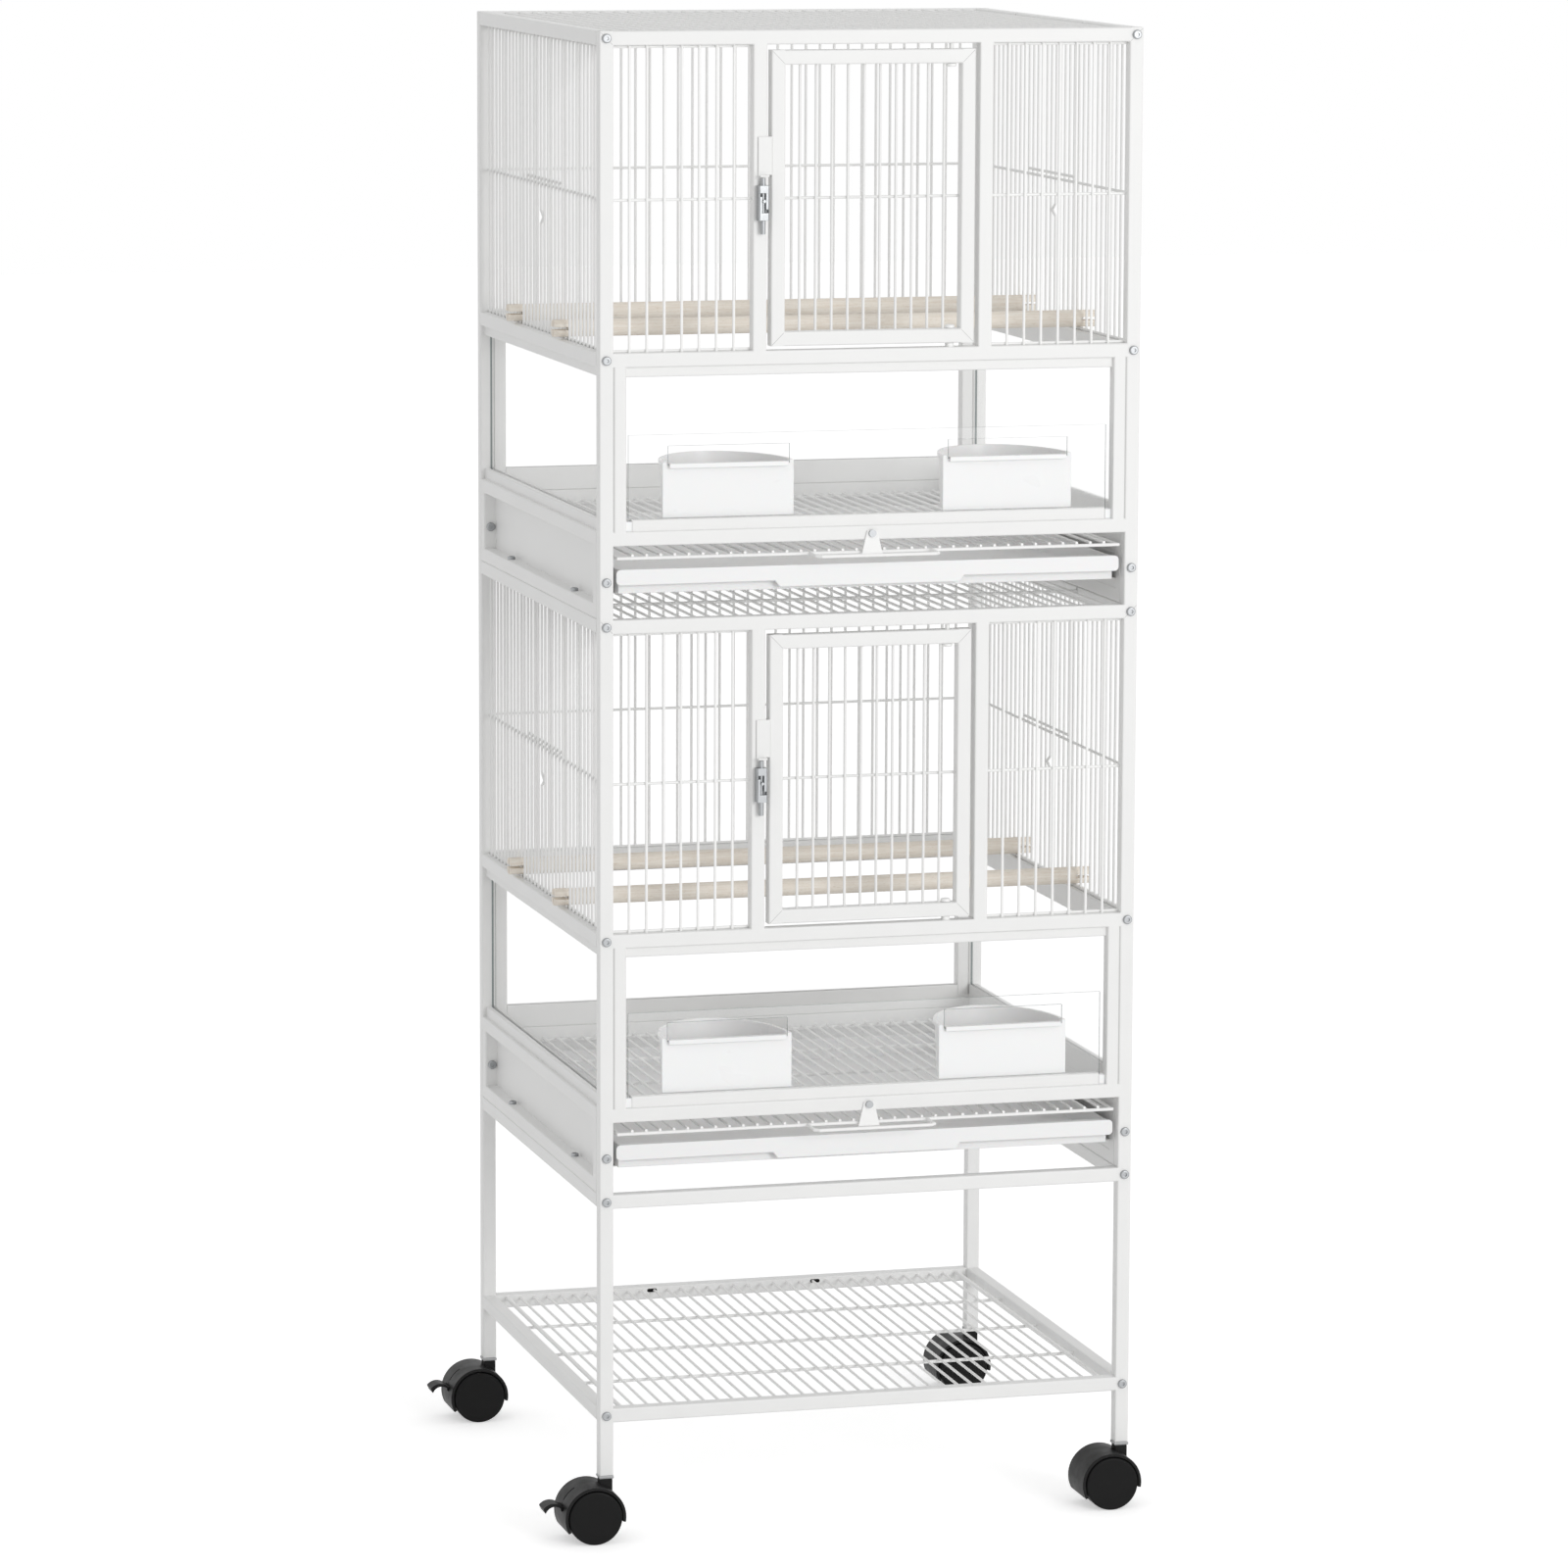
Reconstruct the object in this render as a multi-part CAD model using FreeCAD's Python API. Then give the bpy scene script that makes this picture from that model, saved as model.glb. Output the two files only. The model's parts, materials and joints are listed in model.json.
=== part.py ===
import FreeCAD, Part
import math
import os
from FreeCAD import Vector

os.makedirs("parts", exist_ok=True)

# Two flight cages stacked on a rolling stand. X runs to the right along the front, Y from
# the front face to the back, Z up. All sizes are in millimetres. The pieces are drawn from the
# left outer face, the front face and the foot of the legs, and moved to the origin when saved:
# the middle of the bounding box, on the floor.

# Overall sizes of one cage unit and the stand
cage_width = 508.0
cage_depth = 487.0
unit_height = 526.5
leg_length = 261.0

# Square tube of every frame
tube = 13.0
tube_corner = 1.5
sheet = 1.0
weld_sink = 0.3
seat_gap = 0.3
rest_gap = 0.1
cut_over = 2.0

# Heights of the cage rails above the foot of a unit
lower_rail_z = 66.5
mid_rail_z = 227.0
cross_wire_z = 376.0

# Wire of the panels, the frames of the grids and how many flats a wire has
wire_d = 2.5
rod_d = 3.0
shelf_rod_d = 4.0
wire_sides = 12
bay_gaps = 8
side_gaps = 33
back_gaps = 34
door_gaps = 11
top_gaps = 36
grate_gaps = 36
shelf_gaps = 34

# Door opening, door and its hinge
jamb_from_middle = 99.3
door_half_width = 95.4
door_bottom_gap = 3.5
door_top_gap = 5.0
hinge_from_edge = 21.4
pin_r = 2.1
pin_fit = 0.1
pin_head_r = 4.5
pin_head_height = 3.0
pin_in_rail = 9.0
pin_collar_r = 4.0

# Latch: barrel on the jamb, sliding bolt and the keeper tab on the door
barrel_width = 10.1
barrel_depth = 8.4
barrel_height = 31.3
barrel_z = 357.0
latch_axis_from_jamb = 5.05
latch_axis_depth = 4.4
bolt_length = 50.2
bolt_rest_drop = 5.5
bolt_draw = 9.0
bolt_top_z = 400.4
nub_r = 1.4
nub_reach = 5.4
slot_leg = 4.0
keeper_bottom_z = 397.4
keeper_height = 34.3
keeper_width = 12.6
keeper_sheet = 1.5
keeper_ear_depth = 9.0
keeper_ear_width = 8.4
keeper_notch = 5.2
keeper_flange_depth = 8.0

# Feeding bay: jambs, guard channel, guards and their corner clips
bay_jamb_gap = 0.6
bay_jamb_width = 11.4
channel_set_in = 4.0
channel_lip = 5.0
channel_slot = 2.6
channel_top_height = 9.0
channel_bottom_height = 10.0
guard_sheet = 2.0
guard_top_z = 165.4
guard_inset = 29.0
guard_window_width = 113.0
guard_window_bottom = 137.5
guard_window_top = 155.0
clip_width = 6.0
clip_height = 8.5

# Seed cups
cup_width = 122.4
cup_depth = 90.0
cup_top_z = 140.4
cup_front_top_z = 137.0
cup_wall = 2.0
cup_taper = 1.5
cup_rim = 1.6
cup_rim_height = 3.6
cup_from_guard_end = 93.5
cup_hook_width = 111.0
cup_hook_drop = 3.0
cup_hook_sheet = 1.2

# Recessed bottom panels and the ledges that carry tray and grate
panel_inset = 11.5
tray_ledge = 18.0
tray_ledge_z = 22.0
grate_ledge = 10.0
grate_ledge_z = 53.5
ledge_sheet = 1.2

# Tray
tray_side_gap = 7.5
tray_front = 13.0
tray_wall = 2.0
tray_rim_z = 44.0
tray_back_gap = 12.0
tray_lip_y = 4.7
tray_lip_wall = 2.2
tray_lip_side_gap = 4.0
tray_lip_bottom = 30.8
tray_lip_top = 44.8
tray_lip_corner = 4.0
tray_grip_top = 179.0
tray_grip_bottom = 169.6
tray_grip_z = 25.2

# Floor grate and its clip
grate_side_gap = 4.0
grate_front = 4.0
grate_back_gap = 12.0
grate_handle = 28.0
grate_handle_length = 114.0
grate_handle_bend = 4.0
grate_cross_wires = 3
clip_plate = 1.5
clip_top_width = 9.3
clip_bottom_width = 20.0
clip_bottom_z = 52.5
clip_screw_z = 72.6
clip_screw_top_edge = 2.4
clip_screw_r = 2.0
clip_screw_head_r = 3.4
clip_screw_head = 1.8
clip_screw_length = 9.0

# Perches
perch_d = 15.9
perch_overhang = 6.0
perch_slot = 3.0
perch_slot_depth = 15.5
perch_wires_from_middle = 6.5

# Bent wire and short double wire at the middle of the side panels
bulge_z = 346.0
bulge_height = 12.0
bulge_reach = 10.0
double_wire_length = 138.0
double_wire_rise = 5.0

# Top grid
top_grid_drop = 0.5
top_cross_wire_y = 140.0
top_slot_depth = 5.0

# Frame bolts and stacking bolts
bolt_r = 2.0
bolt_hole_r = 2.2
bolt_head_r = 4.2
bolt_head = 2.4
bolt_head_round = 1.2
bolt_recess_r = 1.8
bolt_recess = 1.2
bolt_shank = 24.0
low_bolt_z = 34.0
stack_from_middle = 126.0
stack_from_edge = 5.5
stack_shank = 23.0
stack_head_r = 3.6
stack_head = 3.0

# Stand
shelf_rail_z = 49.0
shelf_wire_z = 55.5
shelf_border = 11.0
shelf_cross_wires = 3
rail_slot_from_middle = 83.5
rail_slot_z = 58.0
rail_slot_length = 10.0
rail_slot_height = 3.6
rail_slot_depth = 3.0
cap_thickness = 3.5
cap_over = 0.3

# Casters
caster_height = 60.5
caster_trail = 14.0
wheel_d = 50.0
wheel_round = 2.0
caster_width = 48.0
web_half = 4.2
wheel_gap = 0.4
hood_gap = 0.7
hood_wall = 2.9
hood_side_set_in = 1.0
hood_right_deg = -10.0
hood_left_deg = 208.0
web_r = 24.0
slit_right_deg = 122.0
slit_left_deg = 152.0
slit_width = 1.4
slit_depth = 1.4
slit_dot_deg = 157.0
stem_r = 4.0
stem_fit = 0.1
stem_length = 28.0
stem_block = 11.5
axle_r = 3.0
axle_fit = 0.1
axle_in_wheel = 14.0
lever_deg = 166.0
lever_knuckle_r = 2.0
lever_knuckle_fit = 0.3
lever_width = 18.0
lever_reach = 17.5
lever_rise = 4.2
lever_tip_drop = 3.0
lever_thickness = 3.0
lever_tip_thickness = 4.6

# Places that follow from the sizes above
middle_x = cage_width / 2
middle_y = cage_depth / 2
inner_right = cage_width - tube
inner_back = cage_depth - tube
bottom_rail_top = tube
lower_rail_top = lower_rail_z + tube
mid_rail_top = mid_rail_z + tube
top_rail_z = unit_height - tube
wire_y = tube / 2
behind_wire = wire_y + wire_d - weld_sink
lower_base = leg_length
upper_base = leg_length + unit_height
jamb_inner_left = middle_x - jamb_from_middle
jamb_outer_left = jamb_inner_left - tube
jamb_inner_right = middle_x + jamb_from_middle
door_left = middle_x - door_half_width
door_right = middle_x + door_half_width
door_z = mid_rail_top + door_bottom_gap
door_top = top_rail_z - door_top_gap
hinge_x = door_right - hinge_from_edge
latch_x = jamb_inner_left - latch_axis_from_jamb
channel_back = channel_set_in + channel_lip
guard_y = channel_back + (channel_slot - guard_sheet) / 2
cup_front_y = guard_y + guard_sheet + seat_gap
cup_bottom_z = lower_rail_top + channel_bottom_height + seat_gap
side_pitch = (inner_back - tube) / side_gaps
perch_z = mid_rail_top + wire_d + perch_d / 2 + rest_gap
axle_z = wheel_d / 2 - caster_height
hood_r = wheel_d / 2 + hood_gap + hood_wall
caster_half = caster_width / 2
left_stem_x = tube / 2
right_stem_x = cage_width - tube / 2
low_x = left_stem_x - caster_trail - hood_r - lever_reach
high_x = max(right_stem_x - caster_trail + hood_r, cage_width + perch_overhang)
low_y = min(tube / 2 - caster_half, grate_front - grate_handle - rod_d / 2)
high_y = cage_depth - tube / 2 + caster_half
origin_move = Vector(-(low_x + high_x) / 2, -(low_y + high_y) / 2, caster_height)

ALONG_X = Vector(1, 0, 0)
ALONG_Y = Vector(0, 1, 0)
ALONG_Z = Vector(0, 0, 1)


def block(x0, x1, y0, y1, z0, z1):
    """Plain box between two planes each way."""
    return Part.makeBox(x1 - x0, y1 - y0, z1 - z0, Vector(x0, y0, z0))


def bar(x0, x1, y0, y1, z0, z1):
    """Square tube with its four long edges rounded."""
    plain = block(x0, x1, y0, y1, z0, z1)
    length = max(x1 - x0, y1 - y0, z1 - z0)
    long_edges = [edge for edge in plain.Edges if edge.Length > length - tube_corner]
    return plain.makeFillet(tube_corner, long_edges)


def flats(centre, side, axis, diameter):
    """Closed polygon of a wire's section, its flats the diameter apart."""
    other = axis.cross(side)
    radius = diameter / 2 / math.cos(math.pi / wire_sides)
    corners = []
    for number in range(wire_sides):
        turn = 2 * math.pi * (number + 1 / 2) / wire_sides
        corners.append(centre + side * (radius * math.cos(turn)) + other * (radius * math.sin(turn)))
    return Part.makePolygon(corners + [corners[0]])


def across(axis):
    """Direction square to a wire that runs along axis."""
    return ALONG_Z if abs(axis.z) < abs(axis.x) + abs(axis.y) else ALONG_X


def wire(start, end, diameter=wire_d):
    """Straight wire between two points."""
    run = end - start
    axis = Vector(run)
    axis.normalize()
    return Part.Face(flats(start, across(axis), axis, diameter)).extrude(run)


def bent_wire(points, side, diameter=wire_d):
    """Wire through a row of points, mitred at each bend."""
    first = points[1] - points[0]
    first.normalize()
    path = Part.makePolygon(points)
    return path.makePipeShell([flats(points[0], side, first, diameter)], True, False, 1)


def rod(start, end, radius):
    """Round bar between two points."""
    run = end - start
    return Part.makeCylinder(radius, run.Length, start, run)


def joined(shapes):
    """One solid from pieces that are welded together."""
    return shapes[0].multiFuse(shapes[1:])


def welded(shapes):
    """One solid from bars, with the seams of flush faces cleaned away."""
    return joined(shapes).removeSplitter()


def turned(shape):
    """The same piece turned half a turn about the upright middle line of the cage."""
    copy = shape.copy()
    copy.rotate(Vector(middle_x, middle_y, 0), ALONG_Z, 180)
    return copy


def mirrored_x(shape):
    """The same piece on the other side of the cage's middle."""
    return shape.mirror(Vector(middle_x, 0, 0), ALONG_X)


def raised(shape, height):
    """The same piece moved up by a height."""
    copy = shape.copy()
    copy.translate(Vector(0, 0, height))
    return copy


def both_units(shapes):
    """The same pieces in the lower and in the upper unit."""
    return [raised(shape, base) for base in (lower_base, upper_base) for shape in shapes]


def steps(low, high, gaps):
    """Evenly spaced places strictly between two faces."""
    return [low + (high - low) * number / gaps for number in range(1, gaps)]


def save(name, shapes):
    """Write one named piece, or one group of separate solids, in the final frame."""
    solids = [solid for shape in shapes for solid in shape.Solids]
    group = Part.makeCompound(solids) if len(solids) > 1 else solids[0].copy()
    group.translate(origin_move)
    group.exportStep("parts/" + name + ".step")


# Frames of one cage unit


def end_posts_and_rails():
    """Two posts and the three rails that the front and the back frame share."""
    half = tube / 2
    bars = [bar(0, tube, 0, tube, 0, unit_height)]
    bars.append(bar(inner_right, cage_width, 0, tube, 0, unit_height))
    for rail_z in (lower_rail_z, mid_rail_z, top_rail_z):
        bars.append(bar(half, cage_width - half, 0, tube, rail_z, rail_z + tube))
    return bars


def bay_jambs():
    """Upright liners at the ends of the feeding bay, a hairline off the posts."""
    x0 = tube + bay_jamb_gap
    x1 = x0 + bay_jamb_width
    left = bar(x0, x1, 0, tube, lower_rail_top - tube_corner, mid_rail_z + tube_corner)
    return [left, mirrored_x(left)]


def channel(x0, x1, bottom_x0, bottom_x1):
    """Guard channel: lips below the middle rail and above the lower rail, with a slot between."""
    back_lip = channel_back + channel_slot
    top_z0 = mid_rail_z - channel_top_height
    bottom_z1 = lower_rail_top + channel_bottom_height
    lips = []
    for y0, y1 in ((channel_set_in, channel_back), (back_lip, tube)):
        lips.append(block(x0, x1, y0, y1, top_z0, mid_rail_z + tube_corner))
        lips.append(block(bottom_x0, bottom_x1, y0, y1, lower_rail_top - tube_corner, bottom_z1))
    return lips


def post_bolt_holes():
    """Holes for the bolts that join posts to side frames, drilled through both posts."""
    holes = []
    for x in (left_stem_x, right_stem_x):
        for z in (low_bolt_z, mid_rail_z + tube / 2, top_rail_z + tube / 2):
            start = Vector(x, -cut_over, z)
            holes.append(rod(start, Vector(x, tube + cut_over, z), bolt_hole_r))
    return holes


def front_frame():
    """Front frame with door jambs, feeding bay and the holes for bolts, hinge and clip screw."""
    bars = end_posts_and_rails()
    sink = tube / 2
    for x in (jamb_outer_left, jamb_inner_right):
        bars.append(bar(x, x + tube, 0, tube, mid_rail_top - sink, top_rail_z + sink))
    inside = tube + bay_jamb_gap + bay_jamb_width
    clip_end = inside + clip_width
    lips = channel(inside - weld_sink, cage_width - inside + weld_sink, clip_end, cage_width - clip_end)
    frame = welded(bars + bay_jambs() + lips)
    holes = post_bolt_holes()
    hinge_hole = pin_r + pin_fit
    depth = pin_in_rail + cut_over
    for z in (mid_rail_top - depth, top_rail_z):
        holes.append(rod(Vector(hinge_x, wire_y, z), Vector(hinge_x, wire_y, z + depth), hinge_hole))
    screw_end = clip_screw_length + cut_over
    screw_start = Vector(middle_x, -cut_over, clip_screw_z)
    holes.append(rod(screw_start, Vector(middle_x, screw_end, clip_screw_z), clip_screw_r + pin_fit))
    return frame.cut(holes)


def back_frame():
    """Back frame: as the front one, with a bottom rail and a recessed sheet and no jambs."""
    half = tube / 2
    bars = end_posts_and_rails()
    bars.append(bar(half, cage_width - half, 0, tube, 0, tube))
    inside = tube + bay_jamb_gap + bay_jamb_width
    lips = channel(inside - weld_sink, cage_width - inside + weld_sink, inside - weld_sink,
                   cage_width - inside + weld_sink)
    frame = welded(bars + bay_jambs() + lips + [front_recess_sheet()]).cut(post_bolt_holes())
    return turned(frame)


def front_recess_sheet():
    """Sheet set in from the outer face, between bottom and lower rail."""
    return block(tube - weld_sink, inner_right + weld_sink, panel_inset, panel_inset + sheet,
                 bottom_rail_top - weld_sink, lower_rail_z + weld_sink)


def end_bolt_holes(z):
    """Blind holes in both ends of a side rail for the bolts through the posts."""
    depth = bolt_shank - tube + cut_over
    x = left_stem_x
    return [rod(Vector(x, tube, z), Vector(x, tube + depth, z), bolt_hole_r),
            rod(Vector(x, inner_back - depth, z), Vector(x, inner_back, z), bolt_hole_r)]


def stacking_holes(z0, z1):
    """Upright holes in a side rail for the stacking bolts."""
    holes = []
    for y in (middle_y - stack_from_middle, middle_y + stack_from_middle):
        holes.append(rod(Vector(stack_from_edge, y, z0), Vector(stack_from_edge, y, z1), bolt_hole_r))
    return holes


def top_grid_slots():
    """Notches in the inner edge of a side top rail, where the top grid's cross wires lie."""
    wall = rod_d / 2 + seat_gap
    z0 = top_cross_z() - wall
    notches = []
    for y in (top_cross_wire_y, cage_depth - top_cross_wire_y):
        x0 = tube - top_slot_depth
        notches.append(block(x0, tube + cut_over, y - wall, y + wall, z0, unit_height + cut_over))
    return notches


def side_channel(z0, z1):
    """Two lips along a side rail, with the slot for the side guard between them."""
    back_lip = channel_back + channel_slot
    return [block(x0, x1, tube, inner_back, z0, z1)
            for x0, x1 in ((channel_set_in, channel_back), (back_lip, tube))]


def side_base_frame():
    """Left frame below the guard: two rails, two stiles, recessed sheet, channel and two ledges."""
    rails = [bar(0, tube, tube, inner_back, rail_z, rail_z + tube) for rail_z in (0, lower_rail_z)]
    half = tube / 2
    for y0 in (tube, inner_back - tube):
        rails.append(bar(0, tube, y0, y0 + tube, half, lower_rail_z + half))
    y0 = tube + half
    y1 = inner_back - half
    rails.append(block(panel_inset, panel_inset + sheet, y0, y1, half, lower_rail_z + half))
    ledge_x = panel_inset + sheet / 2
    first = tube + tube
    last = inner_back - tube
    for width, z in ((tray_ledge, tray_ledge_z), (grate_ledge, grate_ledge_z)):
        rails.append(block(ledge_x, ledge_x + width, first, last, z - ledge_sheet, z))
    rails += side_channel(lower_rail_top - tube_corner, lower_rail_top + channel_bottom_height)
    x = left_stem_x
    z = low_bolt_z
    depth = bolt_shank - tube + cut_over
    holes = [rod(Vector(x, tube, z), Vector(x, tube + depth, z), bolt_hole_r)]
    holes.append(rod(Vector(x, inner_back - tube - cut_over, z), Vector(x, inner_back, z), bolt_hole_r))
    holes += stacking_holes(-cut_over, tube + cut_over)
    return welded(rails).cut(holes)


def side_wire_frame():
    """Left frame above the guard: middle and top rail with the side wires welded between them."""
    rails = [bar(0, tube, tube, inner_back, rail_z, rail_z + tube) for rail_z in (mid_rail_z, top_rail_z)]
    rails += side_channel(mid_rail_z - channel_top_height, mid_rail_z + tube_corner)
    holes = end_bolt_holes(mid_rail_z + tube / 2) + end_bolt_holes(top_rail_z + tube / 2)
    holes += top_grid_slots() + stacking_holes(top_rail_z - cut_over, unit_height + cut_over)
    return welded(rails).cut(holes).fuse(side_wires())


# Wires of one cage unit


def front_bay():
    """Upright wires between the left post and the door jamb, on a middle, top and bottom wire."""
    x0 = tube
    x1 = jamb_outer_left
    pieces = []
    edge = wire_d / 2
    for z in (mid_rail_top + edge, cross_wire_z, top_rail_z - edge):
        pieces.append(wire(Vector(x0, behind_wire, z), Vector(x1, behind_wire, z)))
    for x in steps(x0, x1, bay_gaps):
        pieces.append(wire(Vector(x, wire_y, mid_rail_top), Vector(x, wire_y, top_rail_z)))
    return joined(pieces)


def back_panel():
    """Upright wires across the whole back."""
    y = cage_depth - wire_y
    y_in = cage_depth - behind_wire
    pieces = []
    edge = wire_d / 2
    for z in (mid_rail_top + edge, cross_wire_z, top_rail_z - edge):
        pieces.append(wire(Vector(tube, y_in, z), Vector(inner_right, y_in, z)))
    for x in steps(tube, inner_right, back_gaps):
        pieces.append(wire(Vector(x, y, mid_rail_top), Vector(x, y, top_rail_z)))
    return joined(pieces)


def bulged_side_wire(y):
    """One upright side wire, bent forward in a short point that takes a hanging hook."""
    half = bulge_height / 2
    points = [Vector(wire_y, y, mid_rail_top - weld_sink), Vector(wire_y, y, bulge_z - half)]
    points.append(Vector(wire_y, y - bulge_reach, bulge_z))
    points.append(Vector(wire_y, y, bulge_z + half))
    points.append(Vector(wire_y, y, top_rail_z + weld_sink))
    return bent_wire(points, ALONG_X)


def side_wires():
    """Upright wires of the left side, with the short double wire and one bent wire."""
    pieces = []
    edge = wire_d / 2
    for z in (mid_rail_top + edge, cross_wire_z, top_rail_z - edge):
        pieces.append(wire(Vector(behind_wire, tube, z), Vector(behind_wire, inner_back, z)))
    short = double_wire_length / 2
    z = cross_wire_z + double_wire_rise
    pieces.append(wire(Vector(behind_wire, middle_y - short, z), Vector(behind_wire, middle_y + short, z)))
    places = steps(tube, inner_back, side_gaps)
    bent_number = len(places) // 2
    for number, y in enumerate(places):
        if number == bent_number:
            pieces.append(bulged_side_wire(y))
        else:
            foot = Vector(wire_y, y, mid_rail_top - weld_sink)
            pieces.append(wire(foot, Vector(wire_y, y, top_rail_z + weld_sink)))
    return joined(pieces)


def top_wire_z():
    """Height of the top grid's long wires, just under the rail tops."""
    return unit_height - top_grid_drop - wire_d / 2


def top_cross_z():
    """Height of the top grid's cross wires, below the long wires."""
    return top_wire_z() - (wire_d + rod_d) / 2 + weld_sink


def top_grid():
    """Lid of front-to-back wires on two cross wires whose ends lie in the side rails."""
    reach = tube - top_slot_depth + seat_gap
    pieces = []
    for y in (top_cross_wire_y, cage_depth - top_cross_wire_y):
        z = top_cross_z()
        pieces.append(wire(Vector(reach, y, z), Vector(cage_width - reach, y, z), rod_d))
    for x in steps(tube, inner_right, top_gaps):
        z = top_wire_z()
        pieces.append(wire(Vector(x, tube + seat_gap, z), Vector(x, inner_back - seat_gap, z)))
    return joined(pieces)


# Door, hinge and latch


def keeper():
    """Sheet tab on the door's free stile, folded forward at its foot into an ear notched for the bolt."""
    y0 = -seat_gap - keeper_sheet
    top = keeper_bottom_z + keeper_height
    plate = block(door_left - keeper_width, door_left, y0, -seat_gap, keeper_bottom_z, top)
    flange_x = door_left - keeper_sheet
    flange = block(flange_x, door_left, y0, keeper_flange_depth, keeper_bottom_z, top)
    ear_x = door_left - keeper_width
    ear = block(ear_x, ear_x + keeper_ear_width, -keeper_ear_depth, -seat_gap,
                keeper_bottom_z - keeper_sheet, keeper_bottom_z + weld_sink)
    half = keeper_notch / 2
    notch = block(ear_x - cut_over, latch_x + half, -latch_axis_depth - half, -latch_axis_depth + half,
                  keeper_bottom_z - keeper_sheet - cut_over, keeper_bottom_z + cut_over)
    return joined([plate, flange, ear]).cut(notch)


def door():
    """Swinging door: square tube frame, upright wires and one cross wire."""
    sink = tube / 2
    bars = [bar(door_left, door_left + tube, 0, tube, door_z, door_top)]
    bars.append(bar(door_right - tube, door_right, 0, tube, door_z, door_top))
    bars.append(bar(door_left + sink, door_right - sink, 0, tube, door_z, door_z + tube))
    bars.append(bar(door_left + sink, door_right - sink, 0, tube, door_top - tube, door_top))
    frame = welded(bars)
    x0 = door_left + tube
    x1 = door_right - tube
    cross_start = Vector(x0 - weld_sink, behind_wire, cross_wire_z)
    pieces = [wire(cross_start, Vector(x1 + weld_sink, behind_wire, cross_wire_z))]
    for x in steps(x0, x1, door_gaps):
        foot = Vector(x, wire_y, door_z + tube - weld_sink)
        pieces.append(wire(foot, Vector(x, wire_y, door_top - tube + weld_sink)))
    whole = joined([frame] + pieces)
    bore = pin_r + pin_fit
    bores = []
    for z in (door_z, door_top - tube):
        foot = Vector(hinge_x, wire_y, z - cut_over)
        bores.append(rod(foot, Vector(hinge_x, wire_y, z + tube + cut_over), bore))
    return whole.cut(bores)


def domed_head(z, up):
    """Round pin head, domed on its free side."""
    edge_z = z + pin_head_height * up
    head = rod(Vector(hinge_x, wire_y, z), Vector(hinge_x, wire_y, edge_z), pin_head_r)
    rim = [edge for edge in head.Edges if abs(edge.CenterOfMass.z - edge_z) < pin_fit and edge.Closed]
    return head.makeFillet(pin_head_height / 2, rim)


def hinge_pins():
    """Bottom pin with the collar that carries the door, and the top pin that hangs from its rail."""
    low_head = door_z + tube + seat_gap
    foot = Vector(hinge_x, wire_y, mid_rail_top - pin_in_rail)
    low_pin = rod(foot, Vector(hinge_x, wire_y, low_head + pin_head_height / 2), pin_r)
    collar_top = door_z - seat_gap
    collar = rod(Vector(hinge_x, wire_y, mid_rail_top), Vector(hinge_x, wire_y, collar_top), pin_collar_r)
    high_head = door_top - tube - seat_gap
    tip = Vector(hinge_x, wire_y, top_rail_z + pin_in_rail)
    high_pin = rod(Vector(hinge_x, wire_y, high_head - pin_head_height / 2), tip, pin_r)
    return [joined([low_pin, collar, domed_head(low_head, 1)]), joined([high_pin, domed_head(high_head, -1)])]


def latch_barrel():
    """Guide block on the jamb, bored for the bolt and slotted in an S for its nub."""
    x0 = latch_x - barrel_width / 2
    body = bar(x0, x0 + barrel_width, -barrel_depth, 0, barrel_z, barrel_z + barrel_height)
    y = -latch_axis_depth
    bore_foot = Vector(latch_x, y, barrel_z - cut_over)
    bore = rod(bore_foot, Vector(latch_x, y, barrel_z + barrel_height + cut_over), pin_r + pin_fit)
    half = nub_r + pin_fit * 2
    low = nub_z() - bolt_draw - half
    high = nub_z() + bolt_rest_drop + half
    front = -barrel_depth - cut_over
    slot = block(latch_x - half, latch_x + half, front, y, low, high)
    upper_leg = block(latch_x - slot_leg, latch_x, front, y, high - half * 2, high)
    lower_leg = block(latch_x, latch_x + slot_leg, front, y, low, low + half * 2)
    return body.cut([bore, slot, upper_leg, lower_leg])


def nub_z():
    """Height of the nub at rest, so that its travel is centred in the barrel."""
    return barrel_z + barrel_height / 2 + (bolt_draw - bolt_rest_drop) / 2


def latch_bolt():
    """Round bolt with the nub that moves it, drawn just clear of the keeper's ear."""
    y = -latch_axis_depth
    top = bolt_top_z - bolt_rest_drop
    shaft = rod(Vector(latch_x, y, top - bolt_length), Vector(latch_x, y, top), pin_r)
    nub = rod(Vector(latch_x, y, nub_z()), Vector(latch_x, y - nub_reach, nub_z()), nub_r)
    return joined([shaft, nub])


# Feeding bay: guards, clips and cups


def window_x(side):
    """Middle of the guard window and cup on the left (-1) or right (1) side."""
    return middle_x + side * (middle_x - guard_inset - cup_from_guard_end)


def front_guard():
    """Clear sheet in front of the cups, with one window above each cup."""
    plate = block(guard_inset, cage_width - guard_inset, guard_y, guard_y + guard_sheet,
                  lower_rail_top + seat_gap, guard_top_z)
    windows = []
    for side in (-1, 1):
        x0 = window_x(side) - guard_window_width / 2
        windows.append(block(x0, x0 + guard_window_width,
                             guard_y - cut_over, guard_y + guard_sheet + cut_over,
                             guard_window_bottom, guard_window_top))
    return plate.cut(windows)


def side_guards():
    """Clear sheets in the channels of the left and right side."""
    left = block(guard_y, guard_y + guard_sheet, tube + seat_gap, inner_back - seat_gap,
                 lower_rail_top + seat_gap, mid_rail_z - seat_gap)
    return [left, turned(left)]


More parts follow.
